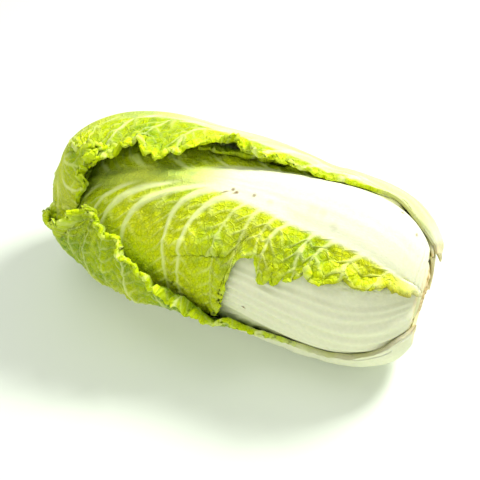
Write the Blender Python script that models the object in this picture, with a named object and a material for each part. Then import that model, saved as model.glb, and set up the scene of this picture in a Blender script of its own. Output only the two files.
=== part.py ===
"""A napa cabbage lying on its side, with its cut stem at +X and its leaf tips at -X.

The head is a turned barrel of packed inner leaves (the heart) on a short stem. Six wrapper leaves are
laid over it one after another, so each one clears everything below it. A leaf is a thin sheet with a
thick white rib down its middle, raised side veins, a net between them and a waved edge.
Angles round the head are in degrees from the top, and they grow towards the front, which is -Y.
"""

from dataclasses import dataclass

import bmesh
import bpy
import numpy as np
from mathutils import Vector
from mathutils.bvhtree import BVHTree

# The heart: a barrel, blunt at the stem and rounder at the tip.
HEART_LENGTH = 0.264
HEART_RADIUS = 0.0565
STEM_END_ROUND = 0.070
TIP_END_ROUND = 0.080
STEM_END_POWER = 2.5
TIP_END_POWER = 2.3
HEART_TURNS = 30
HEART_RINGS = 22
INNER_LEAF_STEP = 0.0035

# The cut stem stands out of the heart about as far as the ribs laid round it are thick.
STEM_RADIUS = 0.0215
STEM_LENGTH = 0.0065
STEM_BULGE = 0.0012
STEM_TURNS = 28

# Clearances and sheet thickness.
CLEAR = 0.0007
JOINT_GAP = 0.0004
BLADE_THICKNESS = 0.0012
VEIN_HEIGHT = 0.0014
NET_HEIGHT = 0.0007
WAVE_LENGTH = 0.031

# Side veins leave the rib at a slant towards the tip, and bend round until they run across.
VEIN_REACH = 0.033
VEIN_SLANT = 1.5

# Near the tip of the head, lines across a leaf straighten instead of circling the tip.
TIP_FLAT = 0.038

# The head's own weight presses a flat spot this deep where it lies, and leaves the blade this thick.
PRESS = 0.0026
PRESSED_THICKNESS = 0.0010

# The grid of a leaf: rib columns as shares of the rib's half width, blade columns as shares of the
# blade beside it, and the first rows as distances from the stem. Further rows follow the side veins.
RIB_COLUMNS = (-1.0, -0.6, -0.2, 0.2, 0.6, 1.0)
BLADE_COLUMNS = (0.25, 0.5, 0.72, 0.9, 1.0)
PETIOLE_ROWS = (0.0, 0.006, 0.014, 0.026, 0.042)

# The drape is tested at this many points along each side of a grid cell, and raised this many times.
TEST_POINTS = 5
EDGE_SHARES = (0.2, 0.4, 0.6, 0.8)
DRAPE_ROUNDS = 7
TEST_REACH = 0.030
DEEPEST = 0.010

WHITE_GREEN = (0.80, 0.88, 0.55)
LIME = (0.55, 0.70, 0.12)


@dataclass
class Leaf:
    """One wrapper leaf. Each list holds (distance from the stem along the rib, value) points.

    The leaf has two sides: `less` towards smaller angles round the head, and `more` towards larger.
    """

    name: str
    colour: tuple
    seed: int
    base_gap: float
    length: float
    angle: list
    rib: list
    rib_thickness: list
    ridges: float
    less: list
    more: list
    veins: int
    first_vein: float
    lift_less: list
    lift_more: list
    wave_less: list
    wave_more: list
    lobes: float = 0.003
    fold: tuple = ()
    hood: list = None
    tuck: float = 0.0
    bow: list = None


FLAT = [(0, 0), (0.3, 0)]
HIDDEN_BLADE = [
    (0, 0.001), (0.05, 0.006), (0.10, 0.021), (0.16, 0.045), (0.22, 0.055), (0.26, 0.040), (0.285, 0.006),
]
RIB_THICKNESS = [(0, 0.0040), (0.03, 0.0055), (0.12, 0.0050), (0.18, 0.0032), (0.24, 0.0016), (0.30, 0.0006)]


def smooth_curve(points, at):
    """A smooth line through (place, value) points, read at the given places, with no overshoot."""
    place, value = np.array(points, float).T
    slope = np.diff(value) / np.diff(place)
    lean = np.concatenate([slope[:1], (slope[1:] + slope[:-1]) / 2, slope[-1:]])
    lean[1:-1][slope[1:] * slope[:-1] <= 0] = 0
    i = np.clip(np.searchsorted(place, at) - 1, 0, len(place) - 2)
    step = place[i + 1] - place[i]
    t = np.clip((at - place[i]) / step, 0, 1)
    return (
        value[i] * (1 + 2 * t) * (1 - t) ** 2
        + lean[i] * step * t * (1 - t) ** 2
        + value[i + 1] * t * t * (3 - 2 * t)
        + lean[i + 1] * step * t * t * (t - 1)
    )


def smooth_step(t):
    t = np.clip(t, 0, 1)
    return t * t * (3 - 2 * t)


def heart_outline():
    """Distance along the heart's outline from the stem, with x, radius and normal (x, r) there."""
    x = HEART_LENGTH * (1 - np.cos(np.linspace(0, np.pi, 2001))) / 2
    stem_end = np.clip(1 - x / STEM_END_ROUND, 0, 1) ** STEM_END_POWER
    tip_end = np.clip(1 - (HEART_LENGTH - x) / TIP_END_ROUND, 0, 1) ** TIP_END_POWER
    r = HEART_RADIUS * np.sqrt((1 - stem_end) * (1 - tip_end))
    kept = (r >= STEM_RADIUS) | (x > HEART_LENGTH / 2)
    x, r = x[kept], r[kept]
    step = np.hypot(np.diff(x), np.diff(r))
    along = np.concatenate([[0], np.cumsum(step)])
    dx, dr = np.gradient(x, along), np.gradient(r, along)
    size = np.hypot(dx, dr)
    return along, x - x[0], r, -dr / size, dx / size


OUTLINE = heart_outline()
PATH = OUTLINE[0][-1]


def on_heart(to_tip, angle):
    """Points of the heart and its outward normals, at distances from its tip and angles in radians."""
    x, r, normal_x, normal_r = (np.interp(PATH - to_tip, OUTLINE[0], o) for o in OUTLINE[1:])
    sin, cos = np.sin(angle), np.cos(angle)
    point = np.stack([-x, -r * sin, r * cos], axis=-1)
    normal = np.stack([-normal_x, -normal_r * sin, normal_r * cos], axis=-1)
    return point, normal


def leaf_on_heart(leaf, along, across):
    """Where a leaf's own coordinates fall on the heart: (distance from the tip, angle in radians)."""
    to_go = PATH - along
    across = across + (smooth_curve(leaf.bow, along) if leaf.bow else 0)
    radius = np.interp(PATH - np.abs(to_go), OUTLINE[0], OUTLINE[2])
    spread = across * np.maximum(np.abs(to_go), 1e-6) / np.maximum(radius, 1e-6)
    bend = np.maximum(np.maximum(to_go, 0) / (to_go**2 + TIP_FLAT**2), 1e-4)
    ahead = to_go - (1 - np.cos(bend * spread)) / bend
    aside = np.sin(bend * spread) / bend
    turn = np.radians(smooth_curve(leaf.angle, along))
    return np.hypot(ahead, aside), np.arctan2(aside, ahead) + turn


def vein_rows(leaf):
    """Where the side veins leave the rib, closer together towards the tip."""
    share = np.linspace(0, 1, leaf.veins)
    return leaf.first_vein + (leaf.length - leaf.first_vein) * 0.95 * (1 - (1 - share) ** 1.15)


def leaf_rows(leaf):
    """Row starts: the petiole, then one row on each side vein and one between each two."""
    crests = vein_rows(leaf)
    between = (crests[1:] + crests[:-1]) / 2
    petiole = [row for row in PETIOLE_ROWS if row < crests[0] - 0.004]
    blade = np.sort(np.concatenate([crests, between]))
    return np.concatenate([petiole, blade, [leaf.length]])


def leaf_columns():
    """Column places from -2 (edge of the `less` side) to 2; those from -1 to 1 lie on the rib."""
    blade = 1 + np.array(BLADE_COLUMNS)
    return np.concatenate([-blade[::-1], RIB_COLUMNS, blade])


def lobe_wave(leaf, start):
    """1 where a side vein reaches the edge and -1 between two veins."""
    crest = vein_rows(leaf)
    phase = np.interp(start, crest, np.arange(len(crest)))
    return np.cos(2 * np.pi * phase) * (start >= crest[0])


def vein_sweep(leaf, start, out):
    """How far a side vein has run towards the tip, at a distance out from the rib."""
    sweep = VEIN_REACH * (1 - np.exp(-VEIN_SLANT * out / VEIN_REACH))
    fade = 1 - smooth_step((start / leaf.length - 0.78) / 0.22)
    return sweep * smooth_step(start / 0.05) * fade


def leaf_grid(leaf, rows, columns):
    """A leaf's flat layout over row starts and column places, each result a grid.

    Returns the row starts, the distances along and across, the share of the way over the blade and
    the side (-1 or 1).
    """
    start, column = np.meshgrid(rows, columns, indexing="ij")
    side = np.where(column < 0, -1.0, 1.0)
    edge = np.where(side > 0, smooth_curve(leaf.more, start), smooth_curve(leaf.less, start))
    edge = np.maximum(edge + leaf.lobes * lobe_wave(leaf, start) * np.minimum(1, edge / 0.02), 0.0008)
    share = np.clip(np.abs(column) - 1, 0, 1)
    out = share * edge
    across = side * (np.minimum(np.abs(column), 1) * smooth_curve(leaf.rib, start) + out)
    along = leaf.base_gap + start + vein_sweep(leaf, start, out)
    return start, along, across, share, side


def blade_relief(leaf, start, share):
    """Height of the side veins and of the net between them over the plain blade."""
    gap = np.abs(start[..., None] - vein_rows(leaf)).min(axis=-1)
    vein = np.exp(-((gap / 0.0030) ** 2)) * (1 - 0.5 * share)
    cross = np.cos(np.pi * share * 6) ** 2
    return smooth_step(share / 0.15) * (VEIN_HEIGHT * vein + NET_HEIGHT * cross * (1 - vein))


def rib_height(leaf, start, across):
    """How much thicker than the blade the rib is: a low arch with lengthwise ridges."""
    t = across / smooth_curve(leaf.rib, start)
    arch = np.clip(1 - t * t, 0, 1) ** 0.7
    ridge = leaf.ridges * np.cos(2 * np.pi * t * 2.5) * arch * smooth_step(start / 0.03)
    return smooth_curve(leaf.rib_thickness, start) * arch + ridge


def edge_rise(leaf, start, share, side):
    """How far the blade stands off what it lies on: a lift of the free edge, with a ruffle on it."""
    lift = np.where(side > 0, smooth_curve(leaf.lift_more, start), smooth_curve(leaf.lift_less, start))
    wave = np.where(side > 0, smooth_curve(leaf.wave_more, start), smooth_curve(leaf.wave_less, start))
    shift = np.random.default_rng(leaf.seed).uniform(0, 2 * np.pi, 2)
    turn = 2 * np.pi * start / WAVE_LENGTH + np.where(side > 0, shift[0], shift[1])
    ruffle = 1 + np.sin(turn) + 0.5 * np.sin(1.9 * turn)
    return lift * share**1.6 + wave * ruffle * smooth_step((share - 0.4) / 0.6)


def fold_rise(leaf, start, across):
    """A pleat along the blade: it swells towards the pleat's line and drops off sharply beyond it."""
    if not leaf.fold:
        return 0.0
    first, last, place, height, width = leaf.fold
    reach = smooth_step((start - first) / 0.012) * smooth_step((last - start) / 0.03)
    before = smooth_step(1 - (place - across) / width) * (across <= place)
    beyond = smooth_step(1 - (across - place) / 0.006) * (across > place)
    return height * reach * (before + beyond)


def hood_height(leaf, start, share):
    """How high over the heart the leaf is held near its tip, lower towards its free edges."""
    if not leaf.hood:
        return 0.0
    return smooth_curve(leaf.hood, start) * (1 - leaf.tuck * share**2)


def height_above(trees, point, normal, reach):
    """How far each point lies above the topmost piece under it, or a large number over nothing."""
    heights = np.full(point.shape[:-1], 1.0)
    for index in np.ndindex(heights.shape):
        away = Vector(normal[index])
        start = Vector(point[index]) + away * reach
        for tree in trees:
            hit = tree.ray_cast(start, -away, 2 * reach)
            if hit[0] is not None:
                heights[index] = min(heights[index], hit[3] - reach)
    return heights


def cell_points(grid):
    """Test points on the triangles of a grid of vectors: an array of (cells, points, 3)."""
    a, b, c, d = grid[:-1, :-1], grid[1:, :-1], grid[1:, 1:], grid[:-1, 1:]
    steps = np.linspace(0, 1, TEST_POINTS + 1)
    found = []
    for u in steps:
        for v in steps:
            found.append(a + u * (b - a) + v * (c - b) if u >= v else a + v * (d - a) + u * (c - d))
    return np.stack(found, axis=2)


def points_below(pieces):
    """Points along the edges of the pieces already placed, each with its way out of the heart."""
    heart = tree_of(pieces[0])
    found = []
    for piece in pieces[1:]:
        corners = [v.co.copy() for v in piece.data.vertices]
        ends = [[corners[i] for i in edge.vertices] for edge in piece.data.edges]
        between = [a.lerp(b, share) for a, b in ends for share in EDGE_SHARES]
        for point in corners + between:
            away = point - heart.find_nearest(point)[0]
            found.append((point, away.normalized()))
    return found


def short_over_points(points, sheet):
    """How far each cell of the sheet falls short of clearing single points below it."""
    rows, columns = sheet.shape[:2]
    faces = sheet_faces(rows, columns)[: 2 * (rows - 1) * (columns - 1)]
    tree = BVHTree.FromPolygons(sheet.reshape(-1, 3).tolist(), faces.tolist())
    short = np.zeros((rows - 1) * (columns - 1))
    for point, away in points:
        hit = tree.ray_cast(point + away * TEST_REACH, -away, TEST_REACH + DEEPEST)
        if hit[0] is not None:
            cell = hit[2] % len(short)
            short[cell] = max(short[cell], CLEAR - (TEST_REACH - hit[3]))
    return short.reshape(rows - 1, columns - 1)


def raised_clear(pieces, base, normal, heights):
    """Raises a sheet's heights over the heart until its triangles clear everything below."""
    trees = [tree_of(piece) for piece in pieces]
    below = points_below(pieces)
    directions = cell_points(normal)
    for _ in range(DRAPE_ROUNDS):
        sheet = base + normal * heights[..., None]
        short = CLEAR - height_above(trees, cell_points(sheet), directions, TEST_REACH).min(axis=2)
        short = np.pad(np.maximum(short, short_over_points(below, sheet)).clip(0), 1)
        corners = [short[:-1, :-1], short[1:, :-1], short[:-1, 1:], short[1:, 1:]]
        heights = heights + np.max(corners, axis=0)
    return heights


def blurred(heights):
    """One pass of a 1-2-1 blur both ways."""
    for axis in (0, 1):
        padded = np.pad(heights, [(1, 1) if a == axis else (0, 0) for a in (0, 1)], mode="edge")
        low, mid, high = (np.take(padded, range(i, i + heights.shape[axis]), axis) for i in range(3))
        heights = (low + 2 * mid + high) / 4
    return heights


def leaf_sheet(leaf, pieces):
    """The leaf's outer and inner surface points, on the same grid, laid over the pieces."""
    start, along, across, share, side = leaf_grid(leaf, leaf_rows(leaf), leaf_columns())
    base, normal = on_heart(*leaf_on_heart(leaf, along, across))
    trees = [tree_of(piece) for piece in pieces]
    ground = np.maximum(-height_above(trees, base, normal, 0.12), 0)
    ground = np.maximum(ground, hood_height(leaf, start, share))
    ground = np.maximum(ground, blurred(blurred(ground)))
    rise = edge_rise(leaf, start, share, side) + fold_rise(leaf, start, across)
    under = raised_clear(pieces, base, normal, ground + CLEAR + rise)
    over = under + BLADE_THICKNESS + rib_height(leaf, start, across) + blade_relief(leaf, start, share)
    return base + normal * over[..., None], base + normal * under[..., None]


def sheet_faces(rows, columns):
    """Triangles of a closed sheet: outer grid first, then the inner grid, and the rim between them."""
    count = rows * columns
    index = np.arange(count).reshape(rows, columns)
    a, b, c, d = index[:-1, :-1], index[1:, :-1], index[1:, 1:], index[:-1, 1:]
    outer = np.concatenate([np.stack(t, -1).reshape(-1, 3) for t in ((a, b, c), (a, c, d))])
    inner = outer[:, ::-1] + count
    ring = np.concatenate([index[0, :-1], index[:-1, -1], index[-1, :0:-1], index[:0:-1, 0]])
    after = np.roll(ring, -1)
    rim = [np.stack(t, -1) for t in ((ring, after, after + count), (ring, after + count, ring + count))]
    return np.concatenate([outer, inner, *rim])


def new_object(name, points, faces, colour, roughness):
    """A mesh object with its faces pointing out and its own material."""
    mesh = bpy.data.meshes.new(name)
    mesh.from_pydata(points.tolist(), [], faces.tolist())
    shape = bmesh.new()
    shape.from_mesh(mesh)
    bmesh.ops.remove_doubles(shape, verts=shape.verts, dist=1e-6)
    bmesh.ops.recalc_face_normals(shape, faces=shape.faces)
    shape.to_mesh(mesh)
    shape.free()
    mesh.shade_smooth()
    material = bpy.data.materials.new(name)
    material.use_nodes = True
    shader = material.node_tree.nodes["Principled BSDF"]
    shader.inputs["Base Color"].default_value = (*colour, 1)
    shader.inputs["Roughness"].default_value = roughness
    shader.inputs["Metallic"].default_value = 0
    mesh.materials.append(material)
    made = bpy.data.objects.new(name, mesh)
    bpy.context.scene.collection.objects.link(made)
    return made


def tree_of(made):
    vertices = [v.co.copy() for v in made.data.vertices]
    return BVHTree.FromPolygons(vertices, [tuple(p.vertices) for p in made.data.polygons])


def make_heart():
    """The packed inner leaves as one solid, with the edges of its outermost leaves as steps."""
    share = np.linspace(0, 1, HEART_RINGS)[:-1]
    to_tip = PATH * (1 - share) ** 1.25
    angle = np.linspace(0, 2 * np.pi, HEART_TURNS, endpoint=False)
    ring, turn = np.meshgrid(to_tip, angle, indexing="ij")
    point, normal = on_heart(ring, turn)
    near_tip = smooth_step(1 - ring / 0.16) * smooth_step(ring / 0.02)
    overlap = (turn * 3 / (2 * np.pi) + ring / 0.16) % 1
    point = point - normal * (INNER_LEAF_STEP * near_tip * overlap)[..., None]
    tip = on_heart(np.array(0.0), np.array(0.0))[0]
    points = np.concatenate([point.reshape(-1, 3), [tip, point[0].mean(axis=0)]])
    index = np.arange((HEART_RINGS - 1) * HEART_TURNS).reshape(HEART_RINGS - 1, HEART_TURNS)
    after = np.roll(index, -1, axis=1)
    a, b, c, d = index[:-1], index[1:], after[1:], after[:-1]
    sides = [np.stack(t, -1).reshape(-1, 3) for t in ((a, b, c), (a, c, d))]
    tip_fan = np.stack([index[-1], np.full(HEART_TURNS, len(points) - 2), after[-1]], -1)
    base_fan = np.stack([after[0], np.full(HEART_TURNS, len(points) - 1), index[0]], -1)
    return new_object("heart", points, np.concatenate([*sides, tip_fan, base_fan]), LIME, 0.5)


def make_stem():
    """The cut stem: a short stub with a slightly domed, rough cut face."""
    radius = STEM_RADIUS - JOINT_GAP
    outline = [
        (JOINT_GAP, 0.0),
        (JOINT_GAP, radius),
        (STEM_LENGTH - 0.0015, radius),
        (STEM_LENGTH - 0.0002, radius - 0.0018),
        (STEM_LENGTH - 0.0012, radius * 0.8),
        (STEM_LENGTH + STEM_BULGE, radius * 0.45),
        (STEM_LENGTH + STEM_BULGE * 0.5, 0.0),
    ]
    angle = np.linspace(0, 2 * np.pi, STEM_TURNS, endpoint=False)
    rings = [[(x, -r * np.sin(a), r * np.cos(a)) for a in angle] for x, r in outline]
    points = np.array(rings).reshape(-1, 3)
    index = np.arange(len(points)).reshape(len(outline), STEM_TURNS)
    after = np.roll(index, -1, axis=1)
    a, b, c, d = index[:-1], index[1:], after[1:], after[:-1]
    faces = np.concatenate([np.stack(t, -1).reshape(-1, 3) for t in ((a, b, c), (a, c, d))])
    points, place = np.unique(points.round(7), axis=0, return_inverse=True)
    faces = place.reshape(-1)[faces]
    proper = (faces[:, 0] != faces[:, 1]) & (faces[:, 1] != faces[:, 2]) & (faces[:, 0] != faces[:, 2])
    return new_object("stem", points, faces[proper], (0.62, 0.5, 0.28), 0.8)


def make_leaf(leaf, pieces):
    outer, inner = leaf_sheet(leaf, pieces)
    rows, columns = outer.shape[:2]
    points = np.concatenate([outer.reshape(-1, 3), inner.reshape(-1, 3)])
    return new_object(leaf.name, points, sheet_faces(rows, columns), leaf.colour, 0.45)


LEAF_FRONT = Leaf(
    name="leaf_front",
    colour=WHITE_GREEN,
    seed=3,
    base_gap=0.0012,
    length=0.275,
    angle=[(0, 96), (0.04, 95), (0.07, 91), (0.10, 85), (0.135, 77), (0.20, 71), (0.30, 68)],
    rib=[
        (0, 0.020), (0.02, 0.028), (0.07, 0.029), (0.10, 0.024), (0.14, 0.017), (0.20, 0.008),
        (0.30, 0.002),
    ],
    rib_thickness=RIB_THICKNESS,
    ridges=0.0011,
    less=[
        (0, 0.002), (0.02, 0.008), (0.08, 0.016), (0.14, 0.035), (0.20, 0.050), (0.24, 0.045),
        (0.275, 0.006),
    ],
    more=[(0, 0.001), (0.06, 0.008), (0.12, 0.040), (0.20, 0.060), (0.24, 0.050), (0.275, 0.006)],
    veins=8,
    first_vein=0.075,
    lift_less=FLAT,
    lift_more=FLAT,
    wave_less=FLAT,
    wave_more=FLAT,
)

LEAF_BACK_LOW = Leaf(
    name="leaf_back_low",
    colour=WHITE_GREEN,
    seed=5,
    base_gap=0.0018,
    length=0.285,
    angle=[(0, 232), (0.30, 228)],
    rib=[(0, 0.020), (0.03, 0.028), (0.10, 0.028), (0.18, 0.018), (0.24, 0.008), (0.30, 0.002)],
    rib_thickness=RIB_THICKNESS,
    ridges=0.0005,
    less=HIDDEN_BLADE,
    more=HIDDEN_BLADE,
    veins=10,
    first_vein=0.06,
    lift_less=FLAT,
    lift_more=FLAT,
    wave_less=FLAT,
    wave_more=FLAT,
)

LEAF_TOP = Leaf(
    name="leaf_top",
    colour=WHITE_GREEN,
    seed=7,
    base_gap=0.0024,
    length=0.288,
    angle=[
        (0, -1), (0.05, -1), (0.09, -3), (0.134, -1), (0.161, 3), (0.183, 10), (0.204, 17), (0.24, 26),
        (0.30, 32),
    ],
    rib=[
        (0, 0.020), (0.02, 0.026), (0.05, 0.027), (0.09, 0.025), (0.134, 0.016), (0.161, 0.010),
        (0.19, 0.006), (0.30, 0.002),
    ],
    rib_thickness=RIB_THICKNESS,
    ridges=0.0003,
    less=[
        (0, 0.001), (0.05, 0.003), (0.12, 0.016), (0.18, 0.042), (0.22, 0.050), (0.26, 0.040),
        (0.288, 0.006),
    ],
    more=[
        (0, 0.002), (0.015, 0.008), (0.031, 0.020), (0.046, 0.028), (0.068, 0.034), (0.084, 0.040),
        (0.097, 0.032), (0.104, 0.034), (0.113, 0.074), (0.15, 0.080), (0.22, 0.070), (0.26, 0.045),
        (0.288, 0.006),
    ],
    veins=13,
    first_vein=0.040,
    lift_less=FLAT,
    lift_more=FLAT,
    wave_less=[(0, 0.0002), (0.03, 0.0010), (0.095, 0.0012), (0.12, 0.0002), (0.29, 0.0)],
    wave_more=[(0, 0.0002), (0.03, 0.0010), (0.095, 0.0012), (0.12, 0.0002), (0.29, 0.0)],
    fold=(0.108, 0.165, 0.052, 0.0035, 0.018),
)

LEAF_BACK = Leaf(
    name="leaf_back",
    colour=WHITE_GREEN,
    seed=9,
    base_gap=0.0030,
    length=0.284,
    angle=[(0, 278), (0.30, 272)],
    rib=[(0, 0.020), (0.03, 0.028), (0.10, 0.028), (0.18, 0.018), (0.24, 0.008), (0.30, 0.002)],
    rib_thickness=RIB_THICKNESS,
    ridges=0.0005,
    less=HIDDEN_BLADE,
    more=HIDDEN_BLADE,
    veins=10,
    first_vein=0.06,
    lift_less=FLAT,
    lift_more=FLAT,
    wave_less=FLAT,
    wave_more=FLAT,
)

LEAF_BOTTOM = Leaf(
    name="leaf_bottom",
    colour=WHITE_GREEN,
    seed=11,
    base_gap=0.0042,
    length=0.302,
    angle=[(0, 151), (0.06, 151), (0.10, 154), (0.20, 155), (0.30, 150)],
    rib=[(0, 0.020), (0.02, 0.031), (0.10, 0.031), (0.18, 0.020), (0.24, 0.009), (0.30, 0.002)],
    rib_thickness=[
        (0, 0.0050), (0.02, 0.0095), (0.08, 0.0085), (0.14, 0.0045), (0.22, 0.0020), (0.30, 0.0006),
    ],
    ridges=0.0003,
    less=[
        (0, 0.002), (0.03, 0.006), (0.06, 0.009), (0.09, 0.014), (0.12, 0.026), (0.16, 0.048),
        (0.20, 0.070), (0.235, 0.076), (0.26, 0.068), (0.28, 0.054), (0.293, 0.038), (0.302, 0.020),
    ],
    more=[
        (0, 0.001), (0.05, 0.006), (0.10, 0.022), (0.16, 0.045), (0.22, 0.052), (0.26, 0.042),
        (0.285, 0.030), (0.302, 0.014),
    ],
    hood=[(0, 0), (0.20, 0.0), (0.24, 0.008), (0.265, 0.014), (0.285, 0.018), (0.302, 0.018)],
    veins=11,
    first_vein=0.050,
    lift_less=[(0, 0), (0.06, 0.001), (0.12, 0.005), (0.20, 0.010), (0.25, 0.012), (0.302, 0.005)],
    lift_more=FLAT,
    wave_less=[(0, 0.0), (0.04, 0.0), (0.08, 0.0010), (0.14, 0.0016), (0.302, 0.0016)],
    wave_more=FLAT,
)

LEAF_TOP_BACK = Leaf(
    name="leaf_top_back",
    colour=WHITE_GREEN,
    seed=13,
    base_gap=0.0036,
    length=0.334,
    angle=[(0, -62), (0.10, -61), (0.16, -60), (0.20, -60), (0.25, -62), (0.30, -76), (0.335, -84)],
    bow=[(0, 0), (0.10, 0), (0.16, 0.005), (0.20, 0.012), (0.24, 0.022), (0.27, 0.026), (0.335, 0.025)],
    hood=[
        (0, 0), (0.08, 0.006), (0.11, 0.010), (0.15, 0.014), (0.19, 0.016), (0.225, 0.020), (0.25, 0.0245),
        (0.275, 0.0275), (0.30, 0.026), (0.32, 0.022), (0.335, 0.017),
    ],
    tuck=0.45,
    rib=[
        (0, 0.018), (0.03, 0.023), (0.10, 0.024), (0.16, 0.018), (0.22, 0.010), (0.28, 0.0045),
        (0.334, 0.002),
    ],
    rib_thickness=[
        (0, 0.0050), (0.03, 0.0066), (0.12, 0.0066), (0.18, 0.0048), (0.24, 0.0028), (0.33, 0.0008),
    ],
    ridges=0.0004,
    less=[
        (0, 0.001), (0.05, 0.008), (0.10, 0.025), (0.16, 0.046), (0.21, 0.048), (0.24, 0.040),
        (0.27, 0.028), (0.30, 0.018), (0.334, 0.006),
    ],
    more=[
        (0, 0.001), (0.05, 0.003), (0.069, 0.008), (0.082, 0.012), (0.10, 0.013), (0.119, 0.020),
        (0.155, 0.020), (0.168, 0.035), (0.18, 0.037), (0.201, 0.028), (0.215, 0.033), (0.24, 0.034),
        (0.27, 0.036), (0.296, 0.031), (0.314, 0.019), (0.324, 0.014), (0.334, 0.009),
    ],
    veins=13,
    first_vein=0.060,
    lift_less=[(0, 0), (0.06, 0.002), (0.16, 0.004), (0.33, 0.004)],
    lift_more=[(0, 0), (0.09, 0.0005), (0.13, 0.003), (0.17, 0.005), (0.21, 0.006), (0.33, 0.003)],
    wave_less=[(0, 0.0), (0.05, 0.0005), (0.10, 0.0012), (0.33, 0.0018)],
    wave_more=[(0, 0.0), (0.05, 0.0005), (0.10, 0.0012), (0.33, 0.0018)],
)

LEAVES = (LEAF_FRONT, LEAF_BACK_LOW, LEAF_TOP, LEAF_BACK, LEAF_TOP_BACK, LEAF_BOTTOM)


def rest_on_floor(pieces):
    """Presses the lowest rib flat, sets it on z = 0 and puts the origin under the middle of the head."""
    clouds = [np.array([v.co for v in p.data.vertices]) for p in pieces]
    floor = min(c[:, 2].min() for c in clouds) + PRESS
    for cloud in clouds:
        cloud[:, 2] = np.maximum(cloud[:, 2], floor)
    for inner in [cloud[len(cloud) // 2 :] for cloud in clouds[-len(LEAVES) :]]:
        inner[:, 2] = np.maximum(inner[:, 2], floor + PRESSED_THICKNESS)
    low, high = np.min([c.min(0) for c in clouds], axis=0), np.max([c.max(0) for c in clouds], axis=0)
    centre = np.array([(low[0] + high[0]) / 2, (low[1] + high[1]) / 2, floor])
    for piece, cloud in zip(pieces, clouds):
        piece.data.vertices.foreach_set("co", (cloud - centre).astype(np.float32).ravel())
        piece.data.update()


def main():
    for old in list(bpy.data.objects):
        bpy.data.objects.remove(old)
    pieces = [make_heart(), make_stem()]
    for leaf in LEAVES:
        pieces.append(make_leaf(leaf, pieces))
    rest_on_floor(pieces)


main()
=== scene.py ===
"""Looks of the napa cabbage: fine leaves in place of the plain ones, their colours, light and camera.

Every leaf is built as in the plain model, on a much finer grid: a sheet laid over the heart and over the
leaves below it. Then it gets its side veins, the net between them, its crinkles and its frilled edge.
Angles round the head are in degrees from the top, and they grow towards the front, which is -Y.
"""

from collections.abc import Sequence
from dataclasses import dataclass

import bpy
import numpy as np
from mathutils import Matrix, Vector
from mathutils.bvhtree import BVHTree


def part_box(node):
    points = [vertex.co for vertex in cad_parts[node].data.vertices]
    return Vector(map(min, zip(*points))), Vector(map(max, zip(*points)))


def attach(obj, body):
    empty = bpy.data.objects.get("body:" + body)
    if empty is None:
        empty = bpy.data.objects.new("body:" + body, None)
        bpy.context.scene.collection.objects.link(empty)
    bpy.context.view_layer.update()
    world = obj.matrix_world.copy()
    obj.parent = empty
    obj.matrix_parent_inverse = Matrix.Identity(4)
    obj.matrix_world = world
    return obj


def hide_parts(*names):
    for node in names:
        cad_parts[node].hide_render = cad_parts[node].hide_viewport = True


# The heart: a barrel, blunt at the stem and rounder at the tip.
HEART_LENGTH = 0.264
HEART_RADIUS = 0.0565
STEM_END_ROUND = 0.070
TIP_END_ROUND = 0.080
STEM_END_POWER = 2.5
TIP_END_POWER = 2.3
HEART_TURNS = 200
HEART_RINGS = 130
INNER_LEAF_STEP = 0.0035

# The cut stem: its wall tapers, and its face is ragged, ringed and cut at a slant. The wall takes up the
# first share of the rings of points, and the face the others.
STEM_RADIUS = 0.0215
STEM_LENGTH = 0.0065
STEM_TURNS = 220
STEM_RINGS = 60
STEM_WALL_SHARE = 0.3
STEM_TAPER = 0.22
STEM_SLANT = 0.11
STEM_RAGGEDNESS = 0.0012
STEM_RIM_DROP = 0.0016
STEM_RELIEF = 0.0005
GROWTH_RING = 0.006
JOINT_GAP = 0.0004

# Clearances and sheet thickness.
CLEAR = 0.0004
BLADE_THICKNESS = 0.0011
PRESSED_THICKNESS = 0.0009

# A free edge ruffles in long waves. A frill lies on them, of two sizes and with small bubbles.
WAVE_LENGTH = 0.031
LONG_FRILL = 0.0085
SHORT_FRILL = 0.0034
BUBBLE = 0.0027
FRILL_WIDTH = 0.016

# Side veins leave the rib at a slant towards the tip, and bend round until they run across.
VEIN_REACH = 0.033
VEIN_SLANT = 1.5
VEIN_HEIGHT = 0.0021
VEIN_WIDTH = 0.0021
VEIN_NARROWS_OVER = 0.022
VEIN_SINKS_OVER = 0.03
BRANCH_SPACING = 0.0085
BRANCH_HEIGHT = 0.0012
BRANCH_WIDTH = 0.0008
NET_SPACING = 0.0046
NET_HEIGHT = 0.0006
SWELL_HEIGHT = 0.0015

# The blade's soft puckers: their height, and the size of the wide and the narrow ones.
CRINKLE_HEIGHT = 0.0018
WIDE_PUCKER = 0.011
NARROW_PUCKER = 0.0060

# The free edge is cut into round lobes about this far apart, with teeth of two sizes on them.
LOBE_SPACING = 0.014
TOOTH_SPACING = 0.0042
TOOTH_DEPTH = 0.0008
SMALL_TOOTH_SPACING = 0.0021
SMALL_TOOTH_DEPTH = 0.0005
LEAST_BLADE = 0.0008

# The rib's arch reaches this many half widths of the rib, with flanks this steep.
ARCH_REACH = 1.35
ARCH_POWER = 1.6
RIB_GRAIN = 0.00012

# How many different values the noise and the net of cells have in each direction before they repeat.
NOISE_LATTICE = 97
CELL_LATTICE = 89

# The two finest nets are drawn by the leaf's material: the size of their cells, how wide a wall is in
# cells, how fast the walls bend, how strongly each net shows in colour and in relief, and how dark the
# painted shade in the fine net's creases is.
COARSE_CELL = 0.0052
FINE_CELL = 0.0024
WALL_WIDTH = 0.14
WALL_BENDS = 0.8
FINE_SHARE = 0.45
LINE_PALENESS = 0.45
CREASE_SHADE_DARKNESS = 0.42

# Near the tip of the head, lines across a leaf straighten instead of circling the tip.
TIP_FLAT = 0.038

# The rolled strip along a free edge is this wide, and grid columns stand closer together towards it.
ROLL_WIDTH = 0.013
EDGE_CROWDING = 1.25


# A curve that is zero all along the leaf.
FLAT = ((0, 0), (0.3, 0))


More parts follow.
